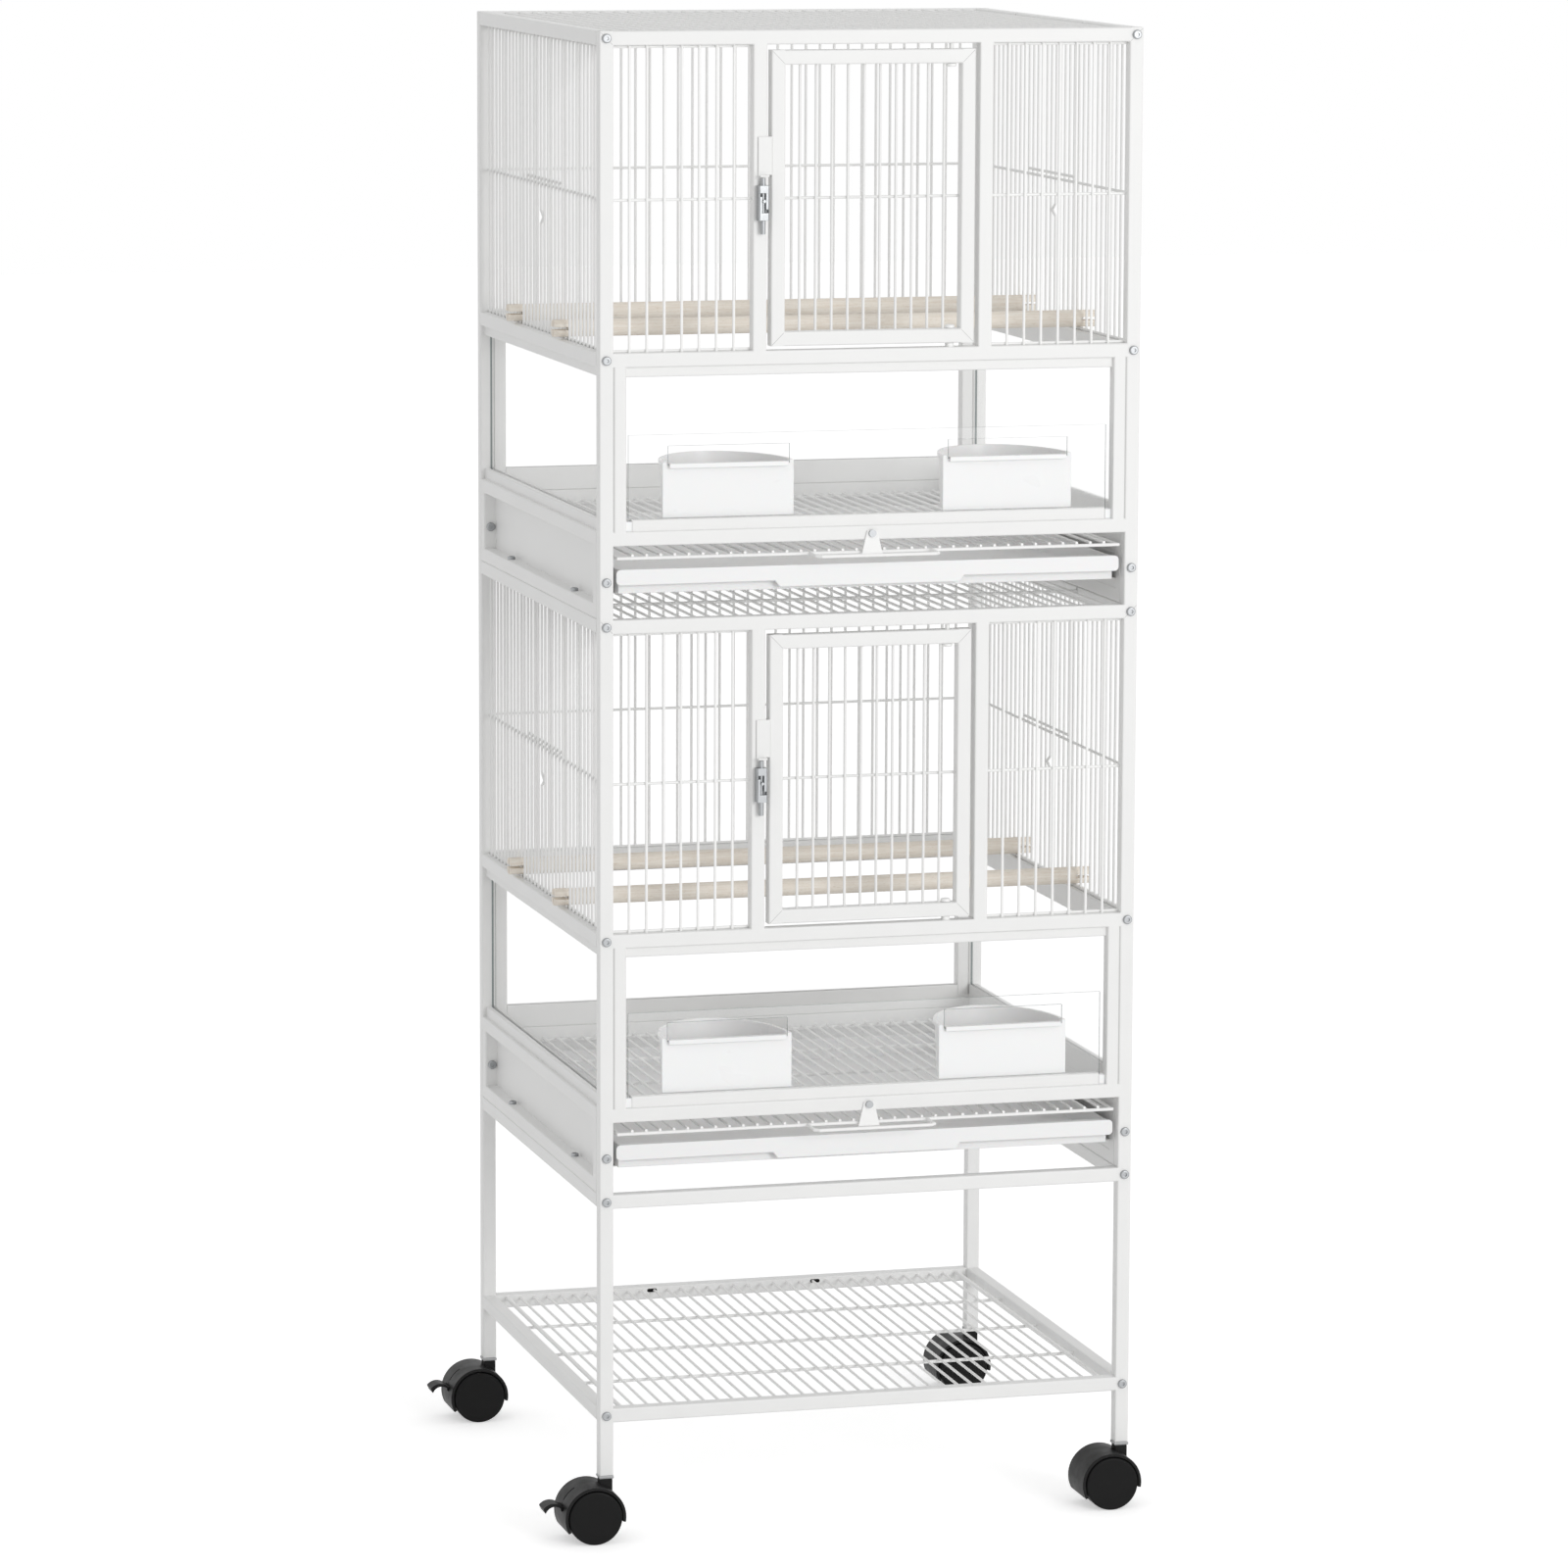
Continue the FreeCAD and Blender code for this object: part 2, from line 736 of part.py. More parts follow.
def guard_clips():
    """White corner clips that take the lower corners of the front guard."""
    x0 = tube + bay_jamb_gap + bay_jamb_width
    body = block(x0, x0 + clip_width, channel_set_in, tube, lower_rail_top, lower_rail_top + clip_height)
    slot = block(guard_inset - seat_gap, x0 + clip_width + cut_over,
                 channel_back, channel_back + channel_slot,
                 lower_rail_top - cut_over, lower_rail_top + clip_height + cut_over)
    left = body.cut(slot)
    return [left, mirrored_x(left)]


def cup_outline(middle, y0, inset, z):
    """Plan of the cup: straight front, and half an ellipse behind it."""
    half = cup_width / 2 - inset
    back = cup_front_y + cup_depth - inset
    ellipse = Part.Ellipse(Vector(middle, back, z), Vector(middle + half, y0, z), Vector(middle, y0, z))
    arc = Part.Arc(ellipse, -math.pi / 2, math.pi / 2).toShape()
    ends = [vertex.Point for vertex in arc.Vertexes]
    return Part.Wire([arc, Part.makeLine(ends[1], ends[0])])


def cup_shell(middle):
    """Upright half-round shell with a flat front plate and a rolled rim, open at the top."""
    rim_z = cup_top_z - cup_rim_height
    inner_y = cup_front_y + cup_wall
    low_inset = cup_rim + cup_taper
    outer = Part.makeLoft([cup_outline(middle, cup_front_y, low_inset, cup_bottom_z),
                           cup_outline(middle, cup_front_y, cup_rim, rim_z)], True)
    front = block(middle - cup_width / 2, middle + cup_width / 2, cup_front_y, inner_y,
                  cup_bottom_z, cup_front_top_z)
    rim = Part.Face(cup_outline(middle, cup_front_y, 0, rim_z)).extrude(ALONG_Z * cup_rim_height)
    inner_low = cup_outline(middle, inner_y, low_inset + cup_wall, cup_bottom_z + cup_wall)
    inner_high = cup_outline(middle, inner_y, cup_rim + cup_wall, cup_top_z)
    return joined([outer, rim, front]).cut(Part.makeLoft([inner_low, inner_high], True))


def cup(side):
    """Seed cup: half-round shell, lower at the front, with a hook over the window sill."""
    middle = window_x(side)
    x0 = middle - cup_hook_width / 2
    x1 = middle + cup_hook_width / 2
    y0 = guard_y - seat_gap - cup_hook_sheet
    inner_y = cup_front_y + cup_wall
    low_front = block(x0, x1, cup_front_y - cut_over, inner_y + cut_over,
                      cup_front_top_z, cup_top_z + cut_over)
    sill = guard_window_bottom + seat_gap
    bridge = block(x0, x1, y0, inner_y, sill, sill + cup_hook_sheet)
    strip = block(x0, x1, cup_front_y, inner_y, cup_front_top_z - weld_sink, sill + weld_sink)
    drop = block(x0, x1, y0, guard_y - seat_gap, sill - cup_hook_drop, sill + weld_sink)
    return joined([cup_shell(middle).cut(low_front), bridge, strip, drop])


# Tray, grate and clip


def tray():
    """Pull-out tray: open pan with a folded front lip that widens downwards into a grip."""
    x0 = tube + tray_side_gap
    x1 = cage_width - x0
    y0 = tray_front
    y1 = inner_back - tray_back_gap
    z0 = tray_ledge_z + seat_gap
    pan = block(x0, x1, y0, y1, z0, tray_rim_z)
    hollow = block(x0 + tray_wall, x1 - tray_wall, y0 + tray_wall, y1 - tray_wall,
                   z0 + tray_wall, tray_rim_z + cut_over)
    lip_x0 = tube + tray_lip_side_gap
    lip_back = tray_lip_y + tray_lip_wall
    lip = block(lip_x0, cage_width - lip_x0, tray_lip_y, lip_back, tray_lip_bottom, tray_lip_top)
    ends = [edge for edge in lip.Edges if abs(edge.CenterOfMass.y - (tray_lip_y + lip_back) / 2) < weld_sink]
    lip = lip.makeFillet(tray_lip_corner, ends)
    flange_x0 = lip_x0 + tray_lip_corner
    flange = block(flange_x0, cage_width - flange_x0, lip_back - weld_sink, y0 + weld_sink,
                   tray_lip_top - tray_wall, tray_lip_top)
    corners = [Vector(middle_x - tray_grip_top / 2, tray_lip_y, tray_lip_bottom + weld_sink)]
    corners.append(Vector(middle_x + tray_grip_top / 2, tray_lip_y, tray_lip_bottom + weld_sink))
    corners.append(Vector(middle_x + tray_grip_bottom / 2, tray_lip_y, tray_grip_z))
    corners.append(Vector(middle_x - tray_grip_bottom / 2, tray_lip_y, tray_grip_z))
    grip_face = Part.Face(Part.makePolygon(corners + [corners[0]]))
    grip = grip_face.extrude(ALONG_Y * tray_lip_wall)
    return joined([pan, lip, flange, grip]).cut(hollow)


def grate():
    """Wire floor: border rods, cross rods, front-to-back wires and the handle loop at the front."""
    edge = rod_d / 2
    x0 = tube + grate_side_gap + edge
    x1 = cage_width - x0
    y0 = grate_front
    y1 = inner_back - grate_back_gap
    z = grate_ledge_z + rest_gap + edge
    half = grate_handle_length / 2
    flat = half - grate_handle_bend
    front = y0 - grate_handle
    points = [Vector(middle_x - half, y0, z), Vector(middle_x - half, front + grate_handle_bend, z)]
    points += [Vector(middle_x - flat, front, z), Vector(middle_x + flat, front, z)]
    points += [Vector(middle_x + half, front + grate_handle_bend, z), Vector(middle_x + half, y0, z)]
    pieces = [bent_wire(points, ALONG_Z, rod_d)]
    for y in (y0, y1):
        pieces.append(wire(Vector(x0 - edge, y, z), Vector(x1 + edge, y, z), rod_d))
    for x in (x0, x1):
        pieces.append(wire(Vector(x, y0, z), Vector(x, y1, z), rod_d))
    for y in steps(y0, y1, grate_cross_wires + 1):
        pieces.append(wire(Vector(x0, y, z), Vector(x1, y, z), rod_d))
    wire_z = z + (rod_d + wire_d) / 2 - weld_sink
    for x in steps(x0, x1, grate_gaps):
        pieces.append(wire(Vector(x, y0, wire_z), Vector(x, y1, wire_z)))
    return joined(pieces)


def grate_clip():
    """Tapered plate on the lower rail that hangs in front of the grate."""
    y0 = -seat_gap - clip_plate
    top = clip_screw_z + clip_screw_top_edge
    corners = []
    for half, z in ((-clip_top_width / 2, top), (clip_top_width / 2, top),
                    (clip_bottom_width / 2, clip_bottom_z), (-clip_bottom_width / 2, clip_bottom_z)):
        corners.append(Vector(middle_x + half, y0, z))
    plate = Part.Face(Part.makePolygon(corners + [corners[0]])).extrude(ALONG_Y * clip_plate)
    hole_start = Vector(middle_x, y0 - cut_over, clip_screw_z)
    return plate.cut(rod(hole_start, Vector(middle_x, cut_over, clip_screw_z), clip_screw_r + pin_fit))


def clip_screw():
    """Pivot screw of the clip, driven into the lower rail."""
    head_y = -seat_gap - clip_plate - seat_gap
    head_start = Vector(middle_x, head_y - clip_screw_head, clip_screw_z)
    head = rod(head_start, Vector(middle_x, head_y, clip_screw_z), clip_screw_head_r)
    shank = rod(Vector(middle_x, head_y - clip_screw_head / 2, clip_screw_z),
                Vector(middle_x, clip_screw_length, clip_screw_z), clip_screw_r)
    return joined([head, shank])


# Perches


def perch(side):
    """Round dowel across the cage; its slotted ends straddle a side wire and lie on the bottom wire."""
    y = middle_y + side * perch_wires_from_middle * side_pitch
    start = Vector(-perch_overhang, y, perch_z)
    dowel = rod(start, Vector(cage_width + perch_overhang, y, perch_z), perch_d / 2)
    slots = []
    half = perch_slot / 2
    far = perch_d / 2 + cut_over
    for x0 in (-perch_overhang - cut_over, cage_width + perch_overhang - perch_slot_depth):
        x1 = x0 + perch_slot_depth + cut_over
        slots.append(block(x0, x1, y - half, y + half, perch_z - far, perch_z + far))
        slots.append(block(x0, x1, y - far, y + far, perch_z - half, perch_z + half))
    return dowel.cut(slots)


# Bolts


def frame_bolt(head_point, into):
    """Bolt of the cage and stand frames."""
    return headed_bolt(head_point, into, bolt_head_r, bolt_head, bolt_shank)


def headed_bolt(head_point, into, head_radius, head_height, shank_length):
    """Button-head bolt: the head lies on head_point and the shank runs along into."""
    out = into * -1
    top = head_point + out * head_height
    head = rod(head_point, top, head_radius)
    rim = [edge for edge in head.Edges if edge.Closed and (edge.CenterOfMass - top).Length < pin_fit]
    head = head.makeFillet(bolt_head_round, rim)
    head = head.cut(rod(top - out * bolt_recess, top + out * cut_over, bolt_recess_r))
    sunk = bolt_head_round / 2
    return joined([head, rod(head_point + out * sunk, head_point + into * shank_length, bolt_r)])


def unit_bolts():
    """Bolts of one unit: through the front and back posts, and from the recess at the lower back."""
    bolts = []
    for x in (left_stem_x, right_stem_x):
        for z in (low_bolt_z, mid_rail_z + tube / 2, top_rail_z + tube / 2):
            bolts.append(frame_bolt(Vector(x, 0, z), ALONG_Y))
            if z == low_bolt_z:
                bolts.append(frame_bolt(Vector(x, inner_back - tube, z), ALONG_Y))
            else:
                bolts.append(frame_bolt(Vector(x, cage_depth, z), ALONG_Y * -1))
    return bolts


def stacking_bolts():
    """Bolts down through each unit's bottom side rails into the unit or stand below."""
    bolts = []
    for base in (lower_base, upper_base):
        for x in (stack_from_edge, cage_width - stack_from_edge):
            for y in (middle_y - stack_from_middle, middle_y + stack_from_middle):
                point = Vector(x, y, base + tube)
                bolts.append(headed_bolt(point, ALONG_Z * -1, stack_head_r, stack_head, stack_shank))
    return bolts


# Stand


def stand_end_frame():
    """Two legs with a top rail and a shelf rail, bored for bolts and caster stems."""
    half = tube / 2
    bars = [bar(0, tube, 0, tube, 0, leg_length), bar(inner_right, cage_width, 0, tube, 0, leg_length)]
    for rail_z in (shelf_rail_z, leg_length - tube):
        bars.append(bar(half, cage_width - half, 0, tube, rail_z, rail_z + tube))
    holes = []
    for x in (left_stem_x, right_stem_x):
        top = stem_length + cut_over
        holes.append(rod(Vector(x, wire_y, -cut_over), Vector(x, wire_y, top), stem_r + stem_fit))
        for z in (shelf_rail_z + half, leg_length - half):
            holes.append(rod(Vector(x, -cut_over, z), Vector(x, tube + cut_over, z), bolt_hole_r))
    return welded(bars).cut(holes)


def rail_slots():
    """Two oval slots in the inner face of the back shelf rail."""
    slots = []
    half = rail_slot_height / 2
    y0 = inner_back - cut_over
    y1 = inner_back + rail_slot_depth
    for x in (middle_x - rail_slot_from_middle, middle_x + rail_slot_from_middle):
        flat = (rail_slot_length - rail_slot_height) / 2
        ends = [rod(Vector(x + way * flat, y0, rail_slot_z), Vector(x + way * flat, y1, rail_slot_z), half)
                for way in (-1, 1)]
        slots.append(block(x - flat, x + flat, y0, y1, rail_slot_z - half, rail_slot_z + half))
        slots += ends
    return slots


def stand_side_rail(rail_z, stacked):
    """Side rail between the leg frames, with blind bolt holes in its ends."""
    rail = bar(0, tube, tube, inner_back, rail_z, rail_z + tube)
    holes = end_bolt_holes(rail_z + tube / 2)
    if stacked:
        holes += stacking_holes(rail_z - cut_over, rail_z + tube + cut_over)
    return rail.cut(holes)


def stand_bolts():
    """Bolts through the legs into the ends of the side rails."""
    bolts = []
    for x in (left_stem_x, right_stem_x):
        for z in (shelf_rail_z + tube / 2, leg_length - tube / 2):
            bolts.append(frame_bolt(Vector(x, 0, z), ALONG_Y))
            bolts.append(frame_bolt(Vector(x, cage_depth, z), ALONG_Y * -1))
    return bolts


def shelf_grid():
    """Wire shelf: front-to-back wires and two thick border rods on three cross rods."""
    z = shelf_wire_z
    pieces = []
    for y in steps(tube, inner_back, shelf_cross_wires + 1):
        pieces.append(wire(Vector(tube, y, z), Vector(inner_right, y, z), rod_d))
    border_z = z + (rod_d + shelf_rod_d) / 2 - weld_sink
    x0 = tube + shelf_border
    x1 = cage_width - x0
    for x in (x0, x1):
        pieces.append(wire(Vector(x, tube, border_z), Vector(x, inner_back, border_z), shelf_rod_d))
    wire_z = z + (rod_d + wire_d) / 2 - weld_sink
    for x in steps(x0, x1, shelf_gaps):
        pieces.append(wire(Vector(x, tube, wire_z), Vector(x, inner_back, wire_z)))
    return joined(pieces)


def foot_caps():
    """Grey caps under the legs, bored for the caster stems."""
    caps = []
    for x in (left_stem_x, right_stem_x):
        for y in (wire_y, cage_depth - wire_y):
            half = tube / 2 + cap_over
            cap = bar(x - half, x + half, y - half, y + half, -cap_thickness, 0)
            hole = rod(Vector(x, y, -cap_thickness - cut_over), Vector(x, y, cut_over), stem_r + stem_fit)
            caps.append(cap.cut(hole))
    return caps


# Casters


def polar(x, radius, degrees, y):
    """Point on a circle about the wheel axle."""
    turn = math.radians(degrees)
    return Vector(x + radius * math.cos(turn), y, axle_z + radius * math.sin(turn))


def arc_band(x, y, inner, outer, right_deg, left_deg):
    """Section of a curved band about the wheel axle."""
    middle_deg = (left_deg + right_deg) / 2
    outside = Part.Arc(polar(x, outer, right_deg, y), polar(x, outer, middle_deg, y),
                       polar(x, outer, left_deg, y)).toShape()
    inside = Part.Arc(polar(x, inner, left_deg, y), polar(x, inner, middle_deg, y),
                      polar(x, inner, right_deg, y)).toShape()
    left_end = Part.makeLine(polar(x, outer, left_deg, y), polar(x, inner, left_deg, y))
    right_end = Part.makeLine(polar(x, inner, right_deg, y), polar(x, outer, right_deg, y))
    return Part.Face(Part.Wire([outside, left_end, inside, right_end]))


def hood_slit(x, y):
    """Curved slit along the middle of a braked hood, and the round hole below it."""
    floor_r = hood_r - slit_depth
    half = slit_width / 2
    slit = arc_band(x, y - half, floor_r, hood_r + cut_over, slit_right_deg, slit_left_deg)
    hole = rod(polar(x, floor_r, slit_dot_deg, y), polar(x, hood_r + cut_over, slit_dot_deg, y), half)
    return [slit.extrude(ALONG_Y * slit_width), hole]


def caster_body(stem_x, y, braked):
    """Hood, middle web, stem block, stem and axle of one caster, trailing to the left."""
    x = stem_x - caster_trail
    half = caster_half - hood_side_set_in
    band = arc_band(x, y - half, hood_r - hood_wall, hood_r, hood_right_deg, hood_left_deg)
    hood = band.extrude(ALONG_Y * (half * 2))
    web = rod(Vector(x, y - web_half, axle_z), Vector(x, y + web_half, axle_z), web_r)
    bridge = block(x - web_r, x + web_r, y - web_half, y + web_half, axle_z, axle_z + web_r)
    reach = rod(Vector(x, y - web_half, axle_z), Vector(x, y + web_half, axle_z), hood_r - hood_wall / 2)
    web = joined([web, bridge.common(reach)])
    block_half = stem_block / 2
    block_top = -cap_thickness - seat_gap
    boss = block(stem_x - block_half, stem_x + block_half, y - block_half, y + block_half,
                 axle_z + web_r / 2, block_top)
    wheels_room = [rod(Vector(x, y + way * web_half, axle_z), Vector(x, y + way * caster_half, axle_z),
                       hood_r - hood_wall) for way in (-1, 1)]
    boss = boss.cut(wheels_room)
    stem = rod(Vector(stem_x, y, block_top - cap_thickness), Vector(stem_x, y, stem_length), stem_r)
    axle_half = web_half + axle_in_wheel
    axle = rod(Vector(x, y - axle_half, axle_z), Vector(x, y + axle_half, axle_z), axle_r)
    whole = joined([hood, web, boss, stem, axle])
    if braked:
        centre = polar(x, hood_r, lever_deg, y)
        room = (lever_width + lever_knuckle_fit * 2) / 2
        pocket = rod(centre - ALONG_Y * room, centre + ALONG_Y * room, lever_knuckle_r + lever_knuckle_fit)
        whole = whole.cut([pocket] + hood_slit(x, y))
    return whole


def caster_wheel(x, y, way):
    """One wheel of the pair: solid disc with rounded tread edges."""
    near = web_half + wheel_gap
    start = Vector(x, y + way * near, axle_z)
    end = Vector(x, y + way * caster_half, axle_z)
    disc = rod(start, end, wheel_d / 2)
    rims = [edge for edge in disc.Edges if edge.Closed]
    disc = disc.makeFillet(wheel_round, rims)
    axle_end = Vector(x, y + way * (web_half + axle_in_wheel + seat_gap), axle_z)
    return disc.cut(rod(start - ALONG_Y * (way * cut_over), axle_end, axle_r + axle_fit))


def brake_lever(stem_x, y):
    """Foot lever: knuckle in the hood's pocket and a tab that arches out and down to its tip."""
    x = stem_x - caster_trail
    centre = polar(x, hood_r, lever_deg, y)
    half = lever_width / 2
    knuckle = rod(centre - ALONG_Y * half, centre + ALONG_Y * half, lever_knuckle_r)
    tip_x = x - hood_r - lever_reach
    root = centre.x
    crown_x = (root + tip_x) / 2
    thick = lever_thickness / 2
    y0 = y - half
    crown_z = centre.z + lever_rise
    tip_z = centre.z + lever_rise - lever_tip_drop
    top_root = Vector(root, y0, centre.z + thick)
    top_tip = Vector(tip_x, y0, tip_z)
    foot_tip = Vector(tip_x + lever_tip_thickness / 2, y0, tip_z - lever_tip_thickness)
    foot_root = Vector(root, y0, centre.z - thick)
    top = Part.Arc(top_root, Vector(crown_x, y0, crown_z + thick), top_tip).toShape()
    foot = Part.Arc(foot_tip, Vector(crown_x, y0, crown_z - thick), foot_root).toShape()
    outline = Part.Wire([top, Part.makeLine(top_tip, foot_tip), foot, Part.makeLine(foot_root, top_root)])
    tab = Part.Face(outline).extrude(ALONG_Y * lever_width)
    return joined([knuckle, tab])


def save_units():
    """Both cage units, each piece drawn once and placed at two heights."""
    left_base = side_base_frame()
    left_wires = side_wire_frame()
    bay = front_bay()
    guards = side_guards()
    one_unit = {
        "front_frame": [front_frame()],
        "back_frame": [back_frame()],
        "left_base_frame": [left_base],
        "right_base_frame": [turned(left_base)],
        "left_wire_frame": [left_wires],
        "right_wire_frame": [turned(left_wires)],
        "wire_panels": [bay, mirrored_x(bay), back_panel()],
        "top_grid": [top_grid()],
        "door": [door()],
        "door_keeper": [keeper()],
        "latch_bolt": [latch_bolt()],
        "tray": [tray()],
        "grate": [grate()],
        "grate_clip": [grate_clip()],
        "front_guard": [front_guard()],
        "side_guards": guards,
        "cup_left": [cup(-1)],
        "cup_right": [cup(1)],
        "perches": [perch(-1), perch(1)],
    }
    for unit, base in (("lower", lower_base), ("upper", upper_base)):
        for name, shapes in one_unit.items():
            save(unit + "_" + name, [raised(shape, base) for shape in shapes])
    for name, shapes in (("hinge_pins", hinge_pins()), ("latch_barrels", [latch_barrel()]),
                         ("guard_clips", guard_clips()), ("clip_screws", [clip_screw()])):
        save(name, both_units(shapes))
    save("frame_bolts", both_units(unit_bolts()) + stand_bolts())
    save("stacking_bolts", stacking_bolts())


def save_stand():
    """Stand, shelf and foot caps."""
    front = stand_end_frame()
    save("stand_front_frame", [front])
    save("stand_back_frame", [turned(front).cut(rail_slots())])
    top_rail = stand_side_rail(leg_length - tube, True)
    shelf_rail = stand_side_rail(shelf_rail_z, False)
    save("stand_top_rails", [top_rail, turned(top_rail)])
    save("stand_shelf_rails", [shelf_rail, turned(shelf_rail)])
    save("shelf_grid", [shelf_grid()])
    save("foot_caps", foot_caps())


def save_casters():
    """Four twin-wheel casters; the two on the left have a brake lever."""
    places = {
        "front_left": (left_stem_x, wire_y, True),
        "back_left": (left_stem_x, cage_depth - wire_y, True),
        "front_right": (right_stem_x, wire_y, False),
        "back_right": (right_stem_x, cage_depth - wire_y, False),
    }
    for name, (stem_x, y, braked) in places.items():
        save("caster_" + name, [caster_body(stem_x, y, braked)])
        axle_x = stem_x - caster_trail
        save("wheels_" + name, [caster_wheel(axle_x, y, -1), caster_wheel(axle_x, y, 1)])
        if braked:
            save("brake_lever_" + name, [brake_lever(stem_x, y)])


save_units()
save_stand()
save_casters()
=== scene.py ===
# Bird cage: two flight cages of white tube and wire, one on the other, on a rolling stand with a
# wire shelf. The script follows the cage as it is put together, from the welded frames to the
# casters, and ends with the floor, the lamp and the camera.
import json
import math

import bmesh
import bpy
import numpy as np
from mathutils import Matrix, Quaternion, Vector


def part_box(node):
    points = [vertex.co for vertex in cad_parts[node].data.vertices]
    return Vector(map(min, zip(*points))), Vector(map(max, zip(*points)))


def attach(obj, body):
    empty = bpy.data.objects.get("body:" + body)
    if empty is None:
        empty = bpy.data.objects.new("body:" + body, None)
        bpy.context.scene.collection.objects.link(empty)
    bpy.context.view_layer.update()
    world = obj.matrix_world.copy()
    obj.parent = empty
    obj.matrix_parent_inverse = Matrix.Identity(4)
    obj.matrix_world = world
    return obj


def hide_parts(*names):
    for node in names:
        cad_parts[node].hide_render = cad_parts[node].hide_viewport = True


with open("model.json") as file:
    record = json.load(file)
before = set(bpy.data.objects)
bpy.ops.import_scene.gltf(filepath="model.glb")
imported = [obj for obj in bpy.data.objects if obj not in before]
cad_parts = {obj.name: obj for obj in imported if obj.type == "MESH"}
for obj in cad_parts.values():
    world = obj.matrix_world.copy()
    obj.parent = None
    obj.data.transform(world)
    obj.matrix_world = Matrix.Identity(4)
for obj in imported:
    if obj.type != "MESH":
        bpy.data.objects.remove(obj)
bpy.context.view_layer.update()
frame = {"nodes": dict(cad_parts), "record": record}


# Welded frames and wires: mild steel tube and wire, sandblasted, sprayed with white polyester
# powder and baked. The coat is satin and sets with a fine orange peel, 2 mm from crest to crest on
# the tubes and 1.2 mm on the wires.

def linear(hex_colour):
    """Linear RGBA of an sRGB hex colour: (v + 0.055) / 1.055 to the power 2.4, or v / 12.92 when dark."""
    values = [int(hex_colour[i:i + 2], 16) / 255 for i in (1, 3, 5)]
    return [((v + 0.055) / 1.055) ** 2.4 if v > 0.04045 else v / 12.92 for v in values] + [1.0]


def add_node(tree, kind, links=None, settings=None, **attributes):
    """One shader node: attributes on the node, settings on its sockets, links from other sockets."""
    made = tree.nodes.new(kind)
    for name, value in attributes.items():
        setattr(made, name, value)
    for name, value in (settings or {}).items():
        made.inputs[name].default_value = value
    for name, source in (links or {}).items():
        tree.links.new(source, made.inputs[name])
    return made


def finish_of(name, settings):
    """New material with one Principled shader set from a table, and its Object coordinates."""
    material = bpy.data.materials.new(name)
    material.use_nodes = True
    tree = material.node_tree
    tree.nodes.clear()
    shader = add_node(tree, "ShaderNodeBsdfPrincipled", settings=settings)
    add_node(tree, "ShaderNodeOutputMaterial", {"Surface": shader.outputs["BSDF"]})
    place = add_node(tree, "ShaderNodeTexCoord").outputs["Object"]
    return material, tree, shader, place


def patchy_gloss(tree, shader, place, patch_mm, detail, smooth, rough):
    """Roughness that goes from smooth to rough over the middle of a noise whose patches are about
    patch_mm across. The noise is handed back, for a tone that follows the same patches."""
    patches = add_node(tree, "ShaderNodeTexNoise", {"Vector": place},
                       {"Scale": 1000 / patch_mm, "Detail": detail}).outputs["Fac"]
    gloss = add_node(tree, "ShaderNodeMapRange", {"Value": patches},
                     {"From Min": 0.3, "From Max": 0.7, "To Min": smooth, "To Max": rough})
    tree.links.new(gloss.outputs["Result"], shader.inputs["Roughness"])
    return patches


def grain_bump(tree, shader, place, grain_mm, detail, depth_mm, strength):
    """Bump that follows a noise with grains about grain_mm across and depth_mm deep."""
    grain = add_node(tree, "ShaderNodeTexNoise", {"Vector": place},
                     {"Scale": 1000 / grain_mm, "Detail": detail})
    bump = add_node(tree, "ShaderNodeBump", {"Height": grain.outputs["Fac"]},
                    {"Distance": depth_mm / 1000, "Strength": strength})
    tree.links.new(bump.outputs["Normal"], shader.inputs["Normal"])


# Sockets of a Mix node's colours, by number, because its other kinds of value share their names.
COLOUR_A = 6
COLOUR_B = 7
COLOUR_OUT = 2


def powder_coat(name, light, shade, peel_mm, depth_mm, roughness):
    """Baked white powder: faint cloudy tone, orange peel in the bump and patchy satin gloss."""
    material, tree, shader, place = finish_of(name, {"IOR": 1.5})
    cloud = patchy_gloss(tree, shader, place, patch_mm=35, detail=3.0,
                         smooth=roughness - 0.05, rough=roughness + 0.05)
    tone = add_node(tree, "ShaderNodeMix", {"Factor": cloud},
                    {COLOUR_A: linear(shade), COLOUR_B: linear(light)}, data_type="RGBA")
    tree.links.new(tone.outputs[COLOUR_OUT], shader.inputs["Base Color"])
    grain_bump(tree, shader, place, peel_mm, detail=1.0, depth_mm=depth_mm, strength=0.6)
    return material


def dress(names, material):
    """Gives whole CAD nodes one finish."""
    for name in names:
        for slot in frame["nodes"][name].material_slots:
            slot.material = material


UNITS = ("lower", "upper")
BODY_OF = {node: body for body, nodes in frame["record"]["behaviour"]["bodies"].items() for node in nodes}

# Metres, and radians between two faces.
MERGE_DISTANCE = 2e-6
FLAT_ANGLE = 0.005
CURVE_LEAST = 0.02
CURVE_MOST = 0.5
SHARP_ANGLE = 0.7


